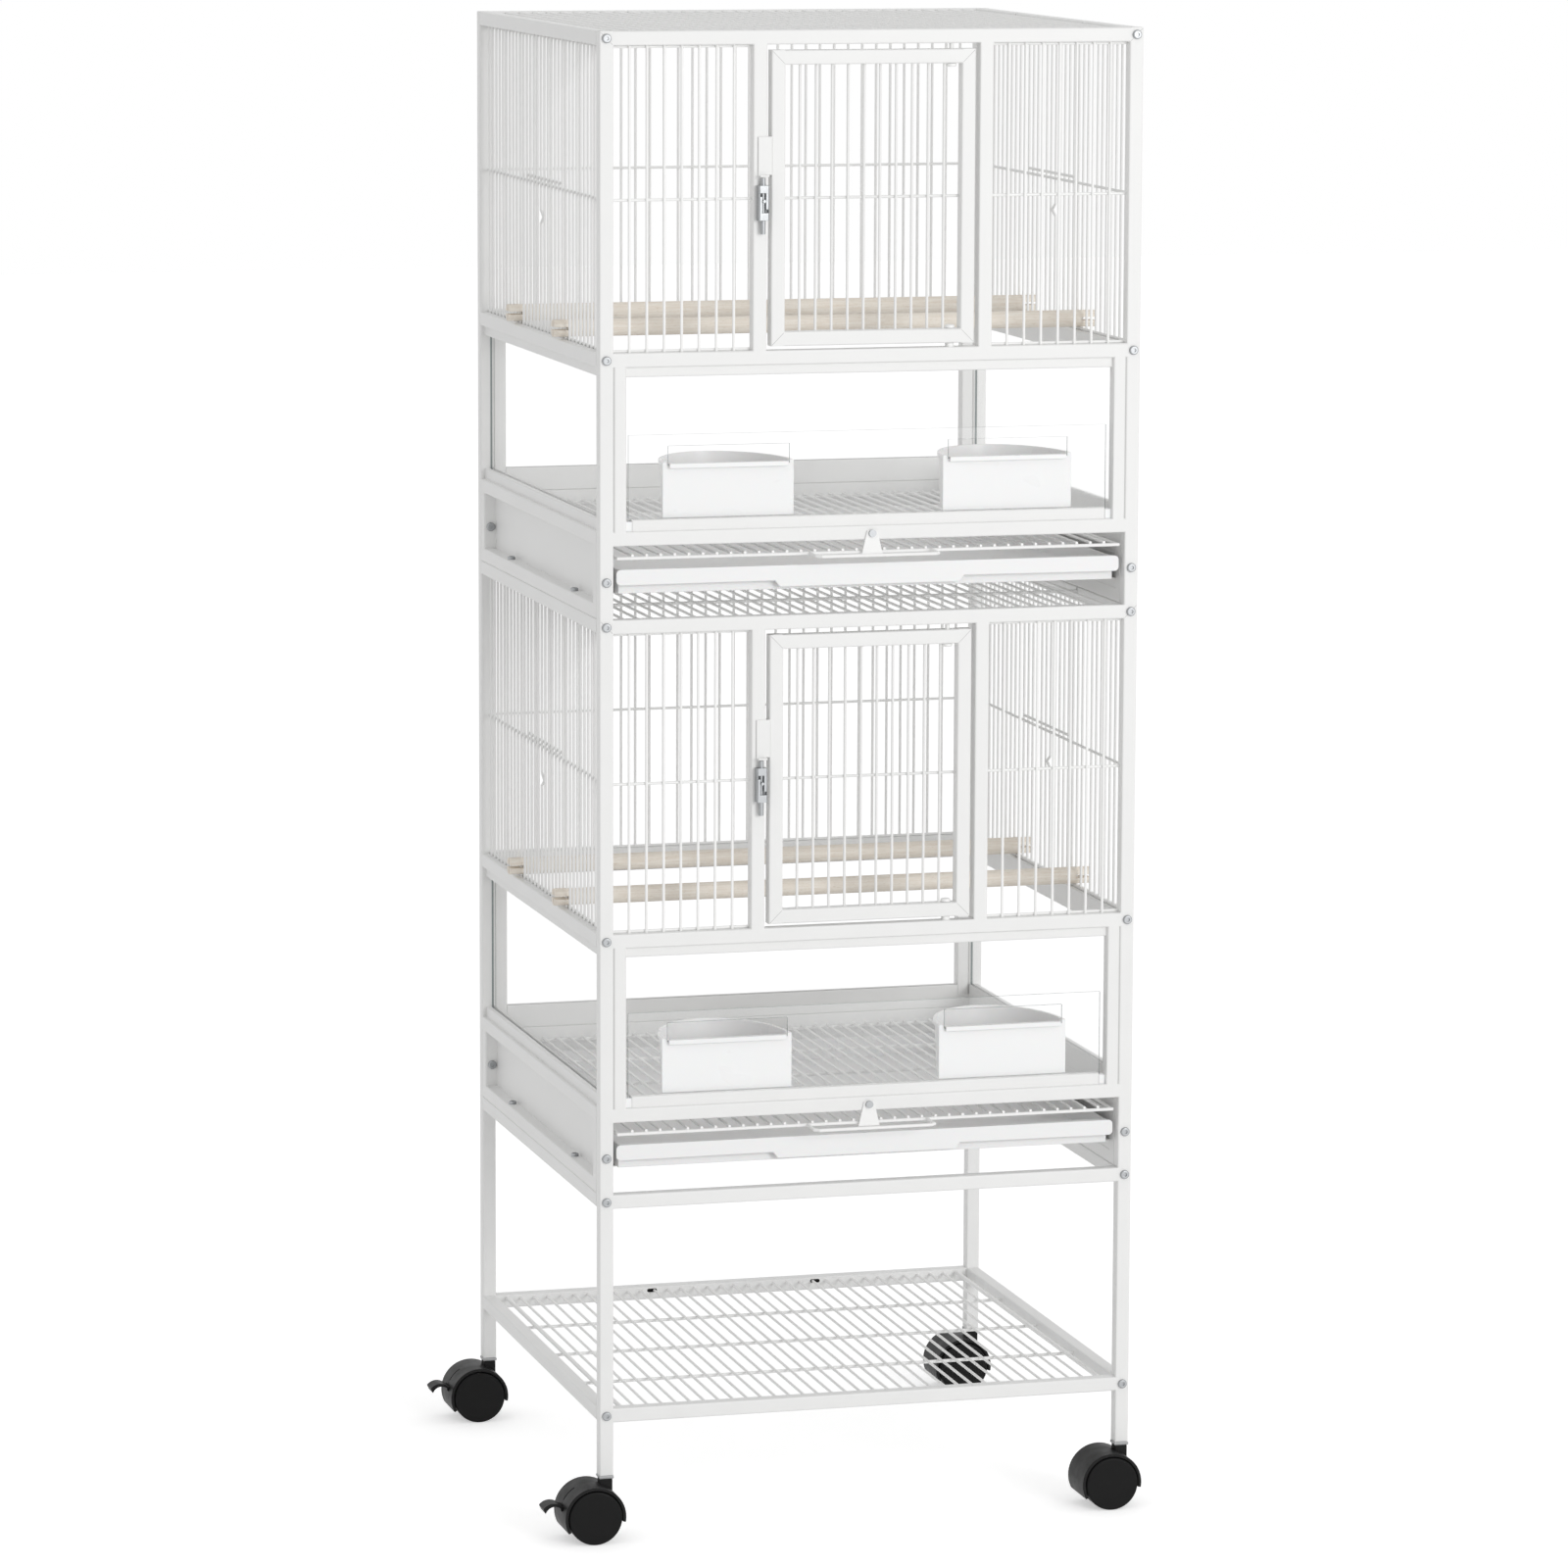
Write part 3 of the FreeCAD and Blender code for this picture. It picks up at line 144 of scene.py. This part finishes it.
def eased(names, finish, radius_mm, shortest_mm=0.8):
    """Copies of CAD nodes, merged and with flat triangles dissolved: each convex edge that is sharper
    than 40 degrees and long enough is rolled off to the radius, and faces that meet a neighbour at
    less than 29 degrees are shaded as one curve. They take the CAD nodes' places."""
    pieces = []
    for name in names:
        mesh = bpy.data.meshes.new(name + "_eased")
        shape = bmesh.new()
        shape.from_mesh(frame["nodes"][name].data)
        bmesh.ops.remove_doubles(shape, verts=shape.verts, dist=MERGE_DISTANCE)
        bmesh.ops.dissolve_limit(shape, angle_limit=FLAT_ANGLE, verts=shape.verts, edges=shape.edges)
        weight = shape.edges.layers.float.new("bevel_weight_edge")
        for edge in shape.edges:
            if len(edge.link_faces) == 2:
                angle = edge.calc_face_angle_signed(0.0)
                rolled = angle > SHARP_ANGLE and edge.calc_length() > shortest_mm / 1000
                edge[weight] = 1.0 if rolled else 0.0
                edge.smooth = rolled or abs(angle) < CURVE_MOST
        for face in shape.faces:
            face.smooth = any(CURVE_LEAST < abs(edge.calc_face_angle(0.0)) < CURVE_MOST
                              for edge in face.edges)
        shape.to_mesh(mesh)
        shape.free()
        mesh.materials.clear()
        mesh.materials.append(finish)
        piece = bpy.data.objects.new(name + "_eased", mesh)
        bpy.context.scene.collection.objects.link(piece)
        roll = piece.modifiers.new("rolled_edges", "BEVEL")
        roll.limit_method = "WEIGHT"
        roll.width = radius_mm / 1000
        roll.segments = 2
        roll.use_clamp_overlap = False
        flat = piece.modifiers.new("flat_faces_lead", "WEIGHTED_NORMAL")
        flat.keep_sharp = True
        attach(piece, BODY_OF[name])
        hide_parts(name)
        pieces.append(piece)
    return pieces


TUBE_ROLL_MM = 1.1
LONG_EDGE_MM = 8.0
tube_coat = powder_coat("baked_white_powder_on_tube", light="#F2F2F1", shade="#EDEDEC",
                        peel_mm=2.0, depth_mm=0.02, roughness=0.42)
wire_coat = powder_coat("baked_white_powder_on_wire", light="#FAFAF9", shade="#F6F6F5",
                        peel_mm=1.2, depth_mm=0.01, roughness=0.38)

TUBE_FRAMES = ("front_frame", "back_frame", "left_base_frame", "right_base_frame")
WIRE_FRAMES = ("left_wire_frame", "right_wire_frame")
WIRES = ("wire_panels", "top_grid", "grate", "grate_clip")
for unit in UNITS:
    eased([unit + "_" + part for part in TUBE_FRAMES], tube_coat, TUBE_ROLL_MM, LONG_EDGE_MM)
    dress([unit + "_" + part for part in WIRE_FRAMES], tube_coat)
    dress([unit + "_" + part for part in WIRES], wire_coat)
eased(["stand_front_frame", "stand_top_rails", "stand_shelf_rails"], tube_coat, TUBE_ROLL_MM, LONG_EDGE_MM)
dress(["shelf_grid"], wire_coat)


# Back shelf rail: two oval slots in its inner face open into the tube, where no powder reaches. The
# faces of the frame that lie inside the slots are painted near-black: painted shade inside the tube.

TUBE = 0.013
SLOT_FROM_MIDDLE = 0.0835
SLOT_ABOVE_FOOT = 0.058
SLOT_HALF_LENGTH = 0.0052
SLOT_HALF_HEIGHT = 0.002
PAST_INNER_FACE = 0.0001
SHORT_OF_OUTER_FACE = 0.001

# Painted shade: near-black with a grain, for the dark seen inside the tube through the slots.
slot_painted_shade, tree, shader, place = finish_of(
    "painted_shade_inside_rail_slots", {"Base Color": linear("#1B1B1B"), "Roughness": 0.8})
grain_bump(tree, shader, place, grain_mm=1.0, detail=2.0, depth_mm=0.05, strength=0.5)

back_rail = eased(["stand_back_frame"], tube_coat, TUBE_ROLL_MM, LONG_EDGE_MM)[0]
back_rail.data.materials.append(slot_painted_shade)
low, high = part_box("stand_back_frame")
centres = np.empty(len(back_rail.data.polygons) * 3)
back_rail.data.polygons.foreach_get("center", centres)
across, deep, up = centres.reshape(-1, 3).T
from_middle = np.abs(across - (low[0] + high[0]) / 2)
in_length = np.abs(from_middle - SLOT_FROM_MIDDLE) < SLOT_HALF_LENGTH
in_height = np.abs(up - low[2] - SLOT_ABOVE_FOOT) < SLOT_HALF_HEIGHT
in_tube = (deep > high[1] - TUBE + PAST_INNER_FACE) & (deep < high[1] - SHORT_OF_OUTER_FACE)
in_slot = in_length & in_height & in_tube
back_rail.data.polygons.foreach_set("material_index", in_slot.astype(np.int32))


# Doors: the same tube and wire, mitred and welded. The keeper is a strip of sheet welded to the
# free stile and folded forward at its foot.

for unit in UNITS:
    eased([unit + "_door"], tube_coat, radius_mm=0.9, shortest_mm=LONG_EDGE_MM)
    eased([unit + "_door_keeper"], tube_coat, radius_mm=0.4)


# Mitre seams: the corners of the doors and the top corners of the front frames are cut at 45
# degrees and welded. The bead is ground flush, and the powder sinks into a hairline along it. Its
# shade is painted: a thin grey strip lies on the face along each mitre.

SEAM_WIDTH = 0.00045
SEAM_PROUD = 0.00003
SEAM_SUNK = 0.0002
ROUNDED_CORNER = 0.001
START_SHARE = 0.0833
LENGTH_SHARE = 0.92
# Painted shade: grey for the sunk hairline, on a strip that lies on the face.
seam_painted_shade = powder_coat("painted_shade_in_weld_seam", light="#CBCBCA", shade="#BFBFBE",
                        peel_mm=1.2, depth_mm=0.01, roughness=0.5)


def seam_bars(name, node, outlines, front, back):
    """Straight bars on one CAD node: the four corners of each outline, in X and Z, stand once at the
    front and once at the back in Y, and six faces close the bar between them."""
    points = np.empty((len(outlines), 2, 4, 3))
    points[..., 0] = outlines[:, None, :, 0]
    points[..., 2] = outlines[:, None, :, 1]
    points[..., 1] = np.array([front, back])[None, :, None]
    faces = np.array([(0, 1, 2, 3), (7, 6, 5, 4), (0, 4, 5, 1), (1, 5, 6, 2), (2, 6, 7, 3), (3, 7, 4, 0)])
    faces = (faces[None] + 8 * np.arange(len(outlines))[:, None, None]).reshape(-1, 4)
    mesh = bpy.data.meshes.new(name)
    mesh.from_pydata(points.reshape(-1, 3).tolist(), [], faces.tolist())
    shape = bmesh.new()
    shape.from_mesh(mesh)
    bmesh.ops.recalc_face_normals(shape, faces=shape.faces)
    shape.to_mesh(mesh)
    shape.free()
    mesh.materials.append(seam_painted_shade)
    piece = bpy.data.objects.new(name, mesh)
    bpy.context.scene.collection.objects.link(piece)
    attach(piece, BODY_OF[node])


def mitre_seams(name, node, corners, front):
    """Hairlines along the mitres of a frame. A corner gives its place (X, Z) and the way inwards. The
    run goes that way, in X and in Z by one tube less its rounded corner. The seam's start and length
    are shares of the run, and its sides lie half its width away along the run turned a quarter."""
    outer = np.array([corner[:2] for corner in corners])
    run = np.array([corner[2:] for corner in corners], dtype=float) * (TUBE - ROUNDED_CORNER)
    side = np.stack([-run[:, 1], run[:, 0]], 1)
    side *= SEAM_WIDTH / 2 / np.linalg.norm(side, axis=1, keepdims=True)
    start = outer + run * START_SHARE
    end = start + run * LENGTH_SHARE
    outlines = np.stack([start + side, start - side, end - side, end + side], 1)
    seam_bars(name, node, outlines, front - SEAM_PROUD, front + SEAM_SUNK)


for unit in UNITS:
    low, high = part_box(unit + "_door")
    mitre_seams(unit + "_door_seams", unit + "_door",
                [(low[0], high[2], 1, -1), (high[0], high[2], -1, -1),
                 (low[0], low[2], 1, 1), (high[0], low[2], -1, 1)], low[1])
    low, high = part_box(unit + "_front_frame")
    mitre_seams(unit + "_frame_seams", unit + "_front_frame",
                [(low[0], high[2], 1, -1), (high[0], high[2], -1, -1)], low[1])


# Jamb seams: at the ends of the feeding bay a liner stands a hairline off each post. The powder
# bridges the gap about 0.7 mm below the faces and leaves a shallow groove. The groove's shade is
# painted: the bridge carries the grey of the mitre seams.

LOWER_RAIL_TOP = 0.0795
MID_RAIL_FOOT = 0.227
JAMB_GAP = 0.0006
BRIDGE_SINK = 0.0007
BRIDGE_BITE = 0.0005

for unit in UNITS:
    for frame_name in ("_front_frame", "_back_frame"):
        low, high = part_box(unit + frame_name)
        near = np.array([low[0] + TUBE - BRIDGE_BITE, high[0] - TUBE - JAMB_GAP - BRIDGE_BITE])
        far = near + JAMB_GAP + 2 * BRIDGE_BITE
        foot = np.full(2, low[2] + LOWER_RAIL_TOP)
        head = np.full(2, low[2] + MID_RAIL_FOOT)
        outlines = np.stack([np.stack([near, foot], 1), np.stack([far, foot], 1),
                             np.stack([far, head], 1), np.stack([near, head], 1)], 1)
        # The bridges take the seam coat: grey, painted shade of the groove.
        seam_bars(unit + frame_name + "_jamb_seams", unit + frame_name, outlines,
                  low[1] + BRIDGE_SINK, high[1] - BRIDGE_SINK)


# Latches, bolts and screws: steel turned or cold headed, with a bright zinc plate that mirrors the
# room softly. The hinge pins are sprayed white, with the coat of the wires.

zinc, tree, shader, place = finish_of(
    "bright_zinc_plate", {"Base Color": linear("#A3A5A7"), "Metallic": 1.0})
patchy_gloss(tree, shader, place, patch_mm=1.5, detail=2.0, smooth=0.34, rough=0.44)
dress(["frame_bolts", "stacking_bolts", "clip_screws"], zinc)
dress(["hinge_pins"], wire_coat)
eased(["latch_barrels"] + [unit + "_latch_bolt" for unit in UNITS], zinc, radius_mm=0.4)


# Perches: turned beech dowels, sanded and left bare. The grain runs along the dowel in fine pale
# and brown streaks with short dark flecks.

STREAK_MM = (30, 1.6, 1.6)
FLECK_MM = (4, 0.6, 0.6)
STREAK_DEPTH_MM = 0.12


def bare_beech():
    """Streaks about 30 mm long and 1.6 mm across along X, and flecks of about 4 by 0.6 mm."""
    material, tree, shader, place = finish_of("sanded_bare_beech", {"Roughness": 0.62, "IOR": 1.45})
    along = add_node(tree, "ShaderNodeMapping", {"Vector": place},
                     {"Scale": [1000 / size for size in STREAK_MM]})
    streak = add_node(tree, "ShaderNodeTexNoise", {"Vector": along.outputs["Vector"]},
                      {"Scale": 1.0, "Detail": 4.0, "Roughness": 0.6})
    wood = add_node(tree, "ShaderNodeValToRGB", {"Fac": streak.outputs["Fac"]})
    brown, pale = wood.color_ramp.elements
    brown.position = 0.3
    brown.color = linear("#ECE1D3")
    pale.position = 0.68
    pale.color = linear("#FAF4EA")
    short = add_node(tree, "ShaderNodeMapping", {"Vector": place},
                     {"Scale": [1000 / size for size in FLECK_MM]})
    fleck = add_node(tree, "ShaderNodeTexNoise", {"Vector": short.outputs["Vector"]},
                     {"Scale": 1.0, "Detail": 1.0})
    dark = add_node(tree, "ShaderNodeMapRange", {"Value": fleck.outputs["Fac"]},
                    {"From Min": 0.62, "From Max": 0.72, "To Min": 0.0, "To Max": 0.28})
    tone = add_node(tree, "ShaderNodeMix",
                    {"Factor": dark.outputs["Result"], COLOUR_A: wood.outputs["Color"]},
                    {COLOUR_B: linear("#BFA88B")}, data_type="RGBA")
    tree.links.new(tone.outputs[COLOUR_OUT], shader.inputs["Base Color"])
    bump = add_node(tree, "ShaderNodeBump", {"Height": streak.outputs["Fac"]},
                    {"Distance": STREAK_DEPTH_MM / 1000, "Strength": 0.5})
    tree.links.new(bump.outputs["Normal"], shader.inputs["Normal"])
    return material


beech = bare_beech()
for unit in UNITS:
    dress([unit + "_perches"], beech)


# Trays, seed cups and guard clips: white injection-moulded polypropylene, smooth on the outside
# with a soft gloss.

def moulded_white(name, colour, roughness):
    """Smooth white plastic with a barely visible flow pattern in its gloss."""
    material, tree, shader, place = finish_of(
        name, {"Base Color": linear(colour), "IOR": 1.49,
               "Subsurface Weight": 0.05, "Subsurface Scale": 0.004})
    patchy_gloss(tree, shader, place, patch_mm=50, detail=2.0,
                 smooth=roughness - 0.04, rough=roughness + 0.04)
    grain_bump(tree, shader, place, grain_mm=1.2, detail=1.0, depth_mm=0.01, strength=0.4)
    return material


tray_white = moulded_white("moulded_white_tray", "#F3F3F3", roughness=0.4)
cup_white = moulded_white("moulded_white_cup", "#F8F8F8", roughness=0.3)
for unit in UNITS:
    eased([unit + "_tray"], tray_white, radius_mm=0.8)
    eased([unit + "_cup_left", unit + "_cup_right"], cup_white, radius_mm=0.5)
eased(["guard_clips"], cup_white, radius_mm=0.3)


# Guards: clear cast acrylic sheet, 2 mm, laser cut. A face has no colour of its own: it lets nearly
# all light through and mirrors a twentieth of it, a little blurred. The cut edges are painted grey,
# as painted shade of the clear edge, and their ripples are drawn coarser than the real ones, so
# that they show.

acrylic, tree, shader, place = finish_of(
    "clear_cast_acrylic_face", {"Base Color": linear("#FAFCFC"), "Metallic": 1.0, "Alpha": 0.05})
patchy_gloss(tree, shader, place, patch_mm=120, detail=2.0, smooth=0.07, rough=0.11)
# Painted shade: a nearly opaque grey on the cut edges, for the dark seen into the clear edge.
edge_painted_shade, tree, shader, place = finish_of(
    "painted_shade_on_acrylic_cut_edge", {"Base Color": linear("#8F9797"), "Roughness": 0.15, "IOR": 1.49, "Alpha": 0.9})
grain_bump(tree, shader, place, grain_mm=0.8, detail=1.0, depth_mm=0.02, strength=0.5)

# A face points along the sheet's thin axis by at least this share, and the rest is cut edge.
FACE_NORMAL = 0.9
for unit in UNITS:
    for name, thin_axis in (("_front_guard", 1), ("_side_guards", 0)):
        sheet = eased([unit + name], acrylic, radius_mm=0.25)[0]
        sheet.data.materials.append(edge_painted_shade)
        normals = np.empty(len(sheet.data.polygons) * 3)
        sheet.data.polygons.foreach_get("normal", normals)
        on_edge = np.abs(normals.reshape(-1, 3)[:, thin_axis]) < FACE_NORMAL
        sheet.data.polygons.foreach_set("material_index", on_edge.astype(np.int32))


# Foot caps: grey polyethylene, moulded with a hole for the caster's stem and pushed onto the feet of
# the four legs. The skin is matt.

cap_grey, tree, shader, place = finish_of(
    "grey_polyethylene", {"Base Color": linear("#B4B5B6"), "Roughness": 0.5, "IOR": 1.51})
grain_bump(tree, shader, place, grain_mm=0.9, detail=2.0, depth_mm=0.03, strength=0.5)
eased(["foot_caps"], cap_grey, radius_mm=0.5)


# Casters: black nylon, injection moulded in spark-eroded tools, so hood and wheels have a fine even
# grain and a low gloss, and use leaves faint paler scuffs. The real grain is about 0.1 mm across
# and is drawn at about half a millimetre, so that it shows.

CASTERS = ("front_left", "back_left", "front_right", "back_right")


def black_nylon(name, colour, worn, roughness, grain_mm):
    """Black with an eroded grain in the bump; a few percent of the surface is scuffed paler."""
    material, tree, shader, place = finish_of(name, {"IOR": 1.53, "Specular IOR Level": 0.14})
    scuff = patchy_gloss(tree, shader, place, patch_mm=12, detail=6.0,
                         smooth=roughness - 0.05, rough=roughness + 0.08)
    where = add_node(tree, "ShaderNodeMapRange", {"Value": scuff},
                     {"From Min": 0.55, "From Max": 0.75, "To Min": 0.0, "To Max": 0.5})
    tone = add_node(tree, "ShaderNodeMix", {"Factor": where.outputs["Result"]},
                    {COLOUR_A: linear(colour), COLOUR_B: linear(worn)}, data_type="RGBA")
    tree.links.new(tone.outputs[COLOUR_OUT], shader.inputs["Base Color"])
    grain_bump(tree, shader, place, grain_mm, detail=1.0, depth_mm=0.03, strength=0.5)
    return material


hood_nylon = black_nylon("eroded_black_nylon_hood", "#181818", worn="#212121", roughness=0.42, grain_mm=0.5)
wheel_nylon = black_nylon("black_nylon_wheel", "#0C0C0C", worn="#161616", roughness=0.48, grain_mm=0.6)
eased(["caster_" + corner for corner in CASTERS], hood_nylon, radius_mm=0.5)
dress(["wheels_" + corner for corner in CASTERS], wheel_nylon)
eased(["brake_lever_" + corner for corner in CASTERS if corner.endswith("left")], hood_nylon, radius_mm=0.6)


# Floor and room: white paper on the ground in a white room. Both look white where they are seen,
# also in a mirror or through glass, and light the cage at a plain level.

FLOOR_HALF = 15.0
FLOOR_GLOW = 0.46
ROOM_LIGHT = 0.64
WHITE = (1, 1, 1, 1)

scene = bpy.context.scene
scene.view_settings.view_transform = "Standard"


def seen_directly(tree):
    """One for rays from the camera, off a mirror or through glass, and zero for all others."""
    rays = add_node(tree, "ShaderNodeLightPath")
    direct = add_node(tree, "ShaderNodeMath", {0: rays.outputs["Is Camera Ray"],
                                               1: rays.outputs["Is Glossy Ray"]}, operation="MAXIMUM")
    either = add_node(tree, "ShaderNodeMath", {0: direct.outputs[0],
                                               1: rays.outputs["Is Transmission Ray"]}, operation="MAXIMUM")
    return either.outputs[0]


floor_mesh = bpy.data.meshes.new("floor")
floor_mesh.from_pydata([(x * FLOOR_HALF, y * FLOOR_HALF, 0) for x, y in ((-1, -1), (1, -1), (1, 1), (-1, 1))],
                       [], [(0, 1, 2, 3)])
floor = bpy.data.objects.new("floor", floor_mesh)
scene.collection.objects.link(floor)
floor_paper, tree, shader, place = finish_of(
    "white_paper_floor", {"Base Color": linear("#F0F0F0"), "Roughness": 0.9})
glow = add_node(tree, "ShaderNodeEmission", settings={"Color": WHITE, "Strength": FLOOR_GLOW})
lit_paper = add_node(tree, "ShaderNodeAddShader", {0: shader.outputs["BSDF"], 1: glow.outputs["Emission"]})
floor_mix = add_node(tree, "ShaderNodeMixShader", {0: seen_directly(tree), 1: shader.outputs["BSDF"],
                                                   2: lit_paper.outputs[0]})
floor_output = [node for node in tree.nodes if node.type == "OUTPUT_MATERIAL"][0]
tree.links.new(floor_mix.outputs[0], floor_output.inputs["Surface"])
floor.data.materials.append(floor_paper)

room = bpy.data.worlds.new("white_room")
scene.world = room
room.use_nodes = True
tree = room.node_tree
tree.nodes.clear()
room_light = add_node(tree, "ShaderNodeBackground", settings={"Color": WHITE, "Strength": ROOM_LIGHT})
room_seen = add_node(tree, "ShaderNodeBackground", settings={"Color": WHITE, "Strength": 1.0})
room_mix = add_node(tree, "ShaderNodeMixShader", {0: seen_directly(tree), 1: room_light.outputs[0],
                                                  2: room_seen.outputs[0]})
add_node(tree, "ShaderNodeOutputWorld", {"Surface": room_mix.outputs[0]})


# Lamp and camera: one softbox in front on the right, above the top of the cage. The camera stands
# in front on the left, far off with a long lens, and looks slightly down.

LAMP_PLACE = Vector((2.4, -6.2, 2.15))
LAMP_TARGET = Vector((0, 0, 0.65))
CAMERA_TARGET = Vector((0.0084, 0.004, 0.7001))
CAMERA_DISTANCE = 6.3457
CAMERA_TURN = math.radians(-15.5004)
CAMERA_RISE = math.radians(8.2553)
CAMERA_ROLL = 0.0037

lamp = bpy.data.lights.new("key_right_front", "AREA")
lamp.shape = "SQUARE"
lamp.size = 2.3
lamp.energy = 138
softbox = bpy.data.objects.new("key_right_front", lamp)
softbox.location = LAMP_PLACE
softbox.rotation_mode = "QUATERNION"
softbox.rotation_quaternion = (LAMP_TARGET - LAMP_PLACE).to_track_quat("-Z", "Y")
scene.collection.objects.link(softbox)

lens = bpy.data.cameras.new("camera")
lens.sensor_width = 36.0
lens.lens = 154.32
lens.shift_y = -0.03
lens.clip_start = 0.1
lens.clip_end = 100.0
camera = bpy.data.objects.new("camera", lens)
back = Vector((math.sin(CAMERA_TURN) * math.cos(CAMERA_RISE),
               -math.cos(CAMERA_TURN) * math.cos(CAMERA_RISE), math.sin(CAMERA_RISE)))
camera.location = CAMERA_TARGET + back * CAMERA_DISTANCE
camera.rotation_mode = "QUATERNION"
camera.rotation_quaternion = (-back).to_track_quat("-Z", "Y") @ Quaternion((0, 0, 1), CAMERA_ROLL)
scene.collection.objects.link(camera)
scene.camera = camera
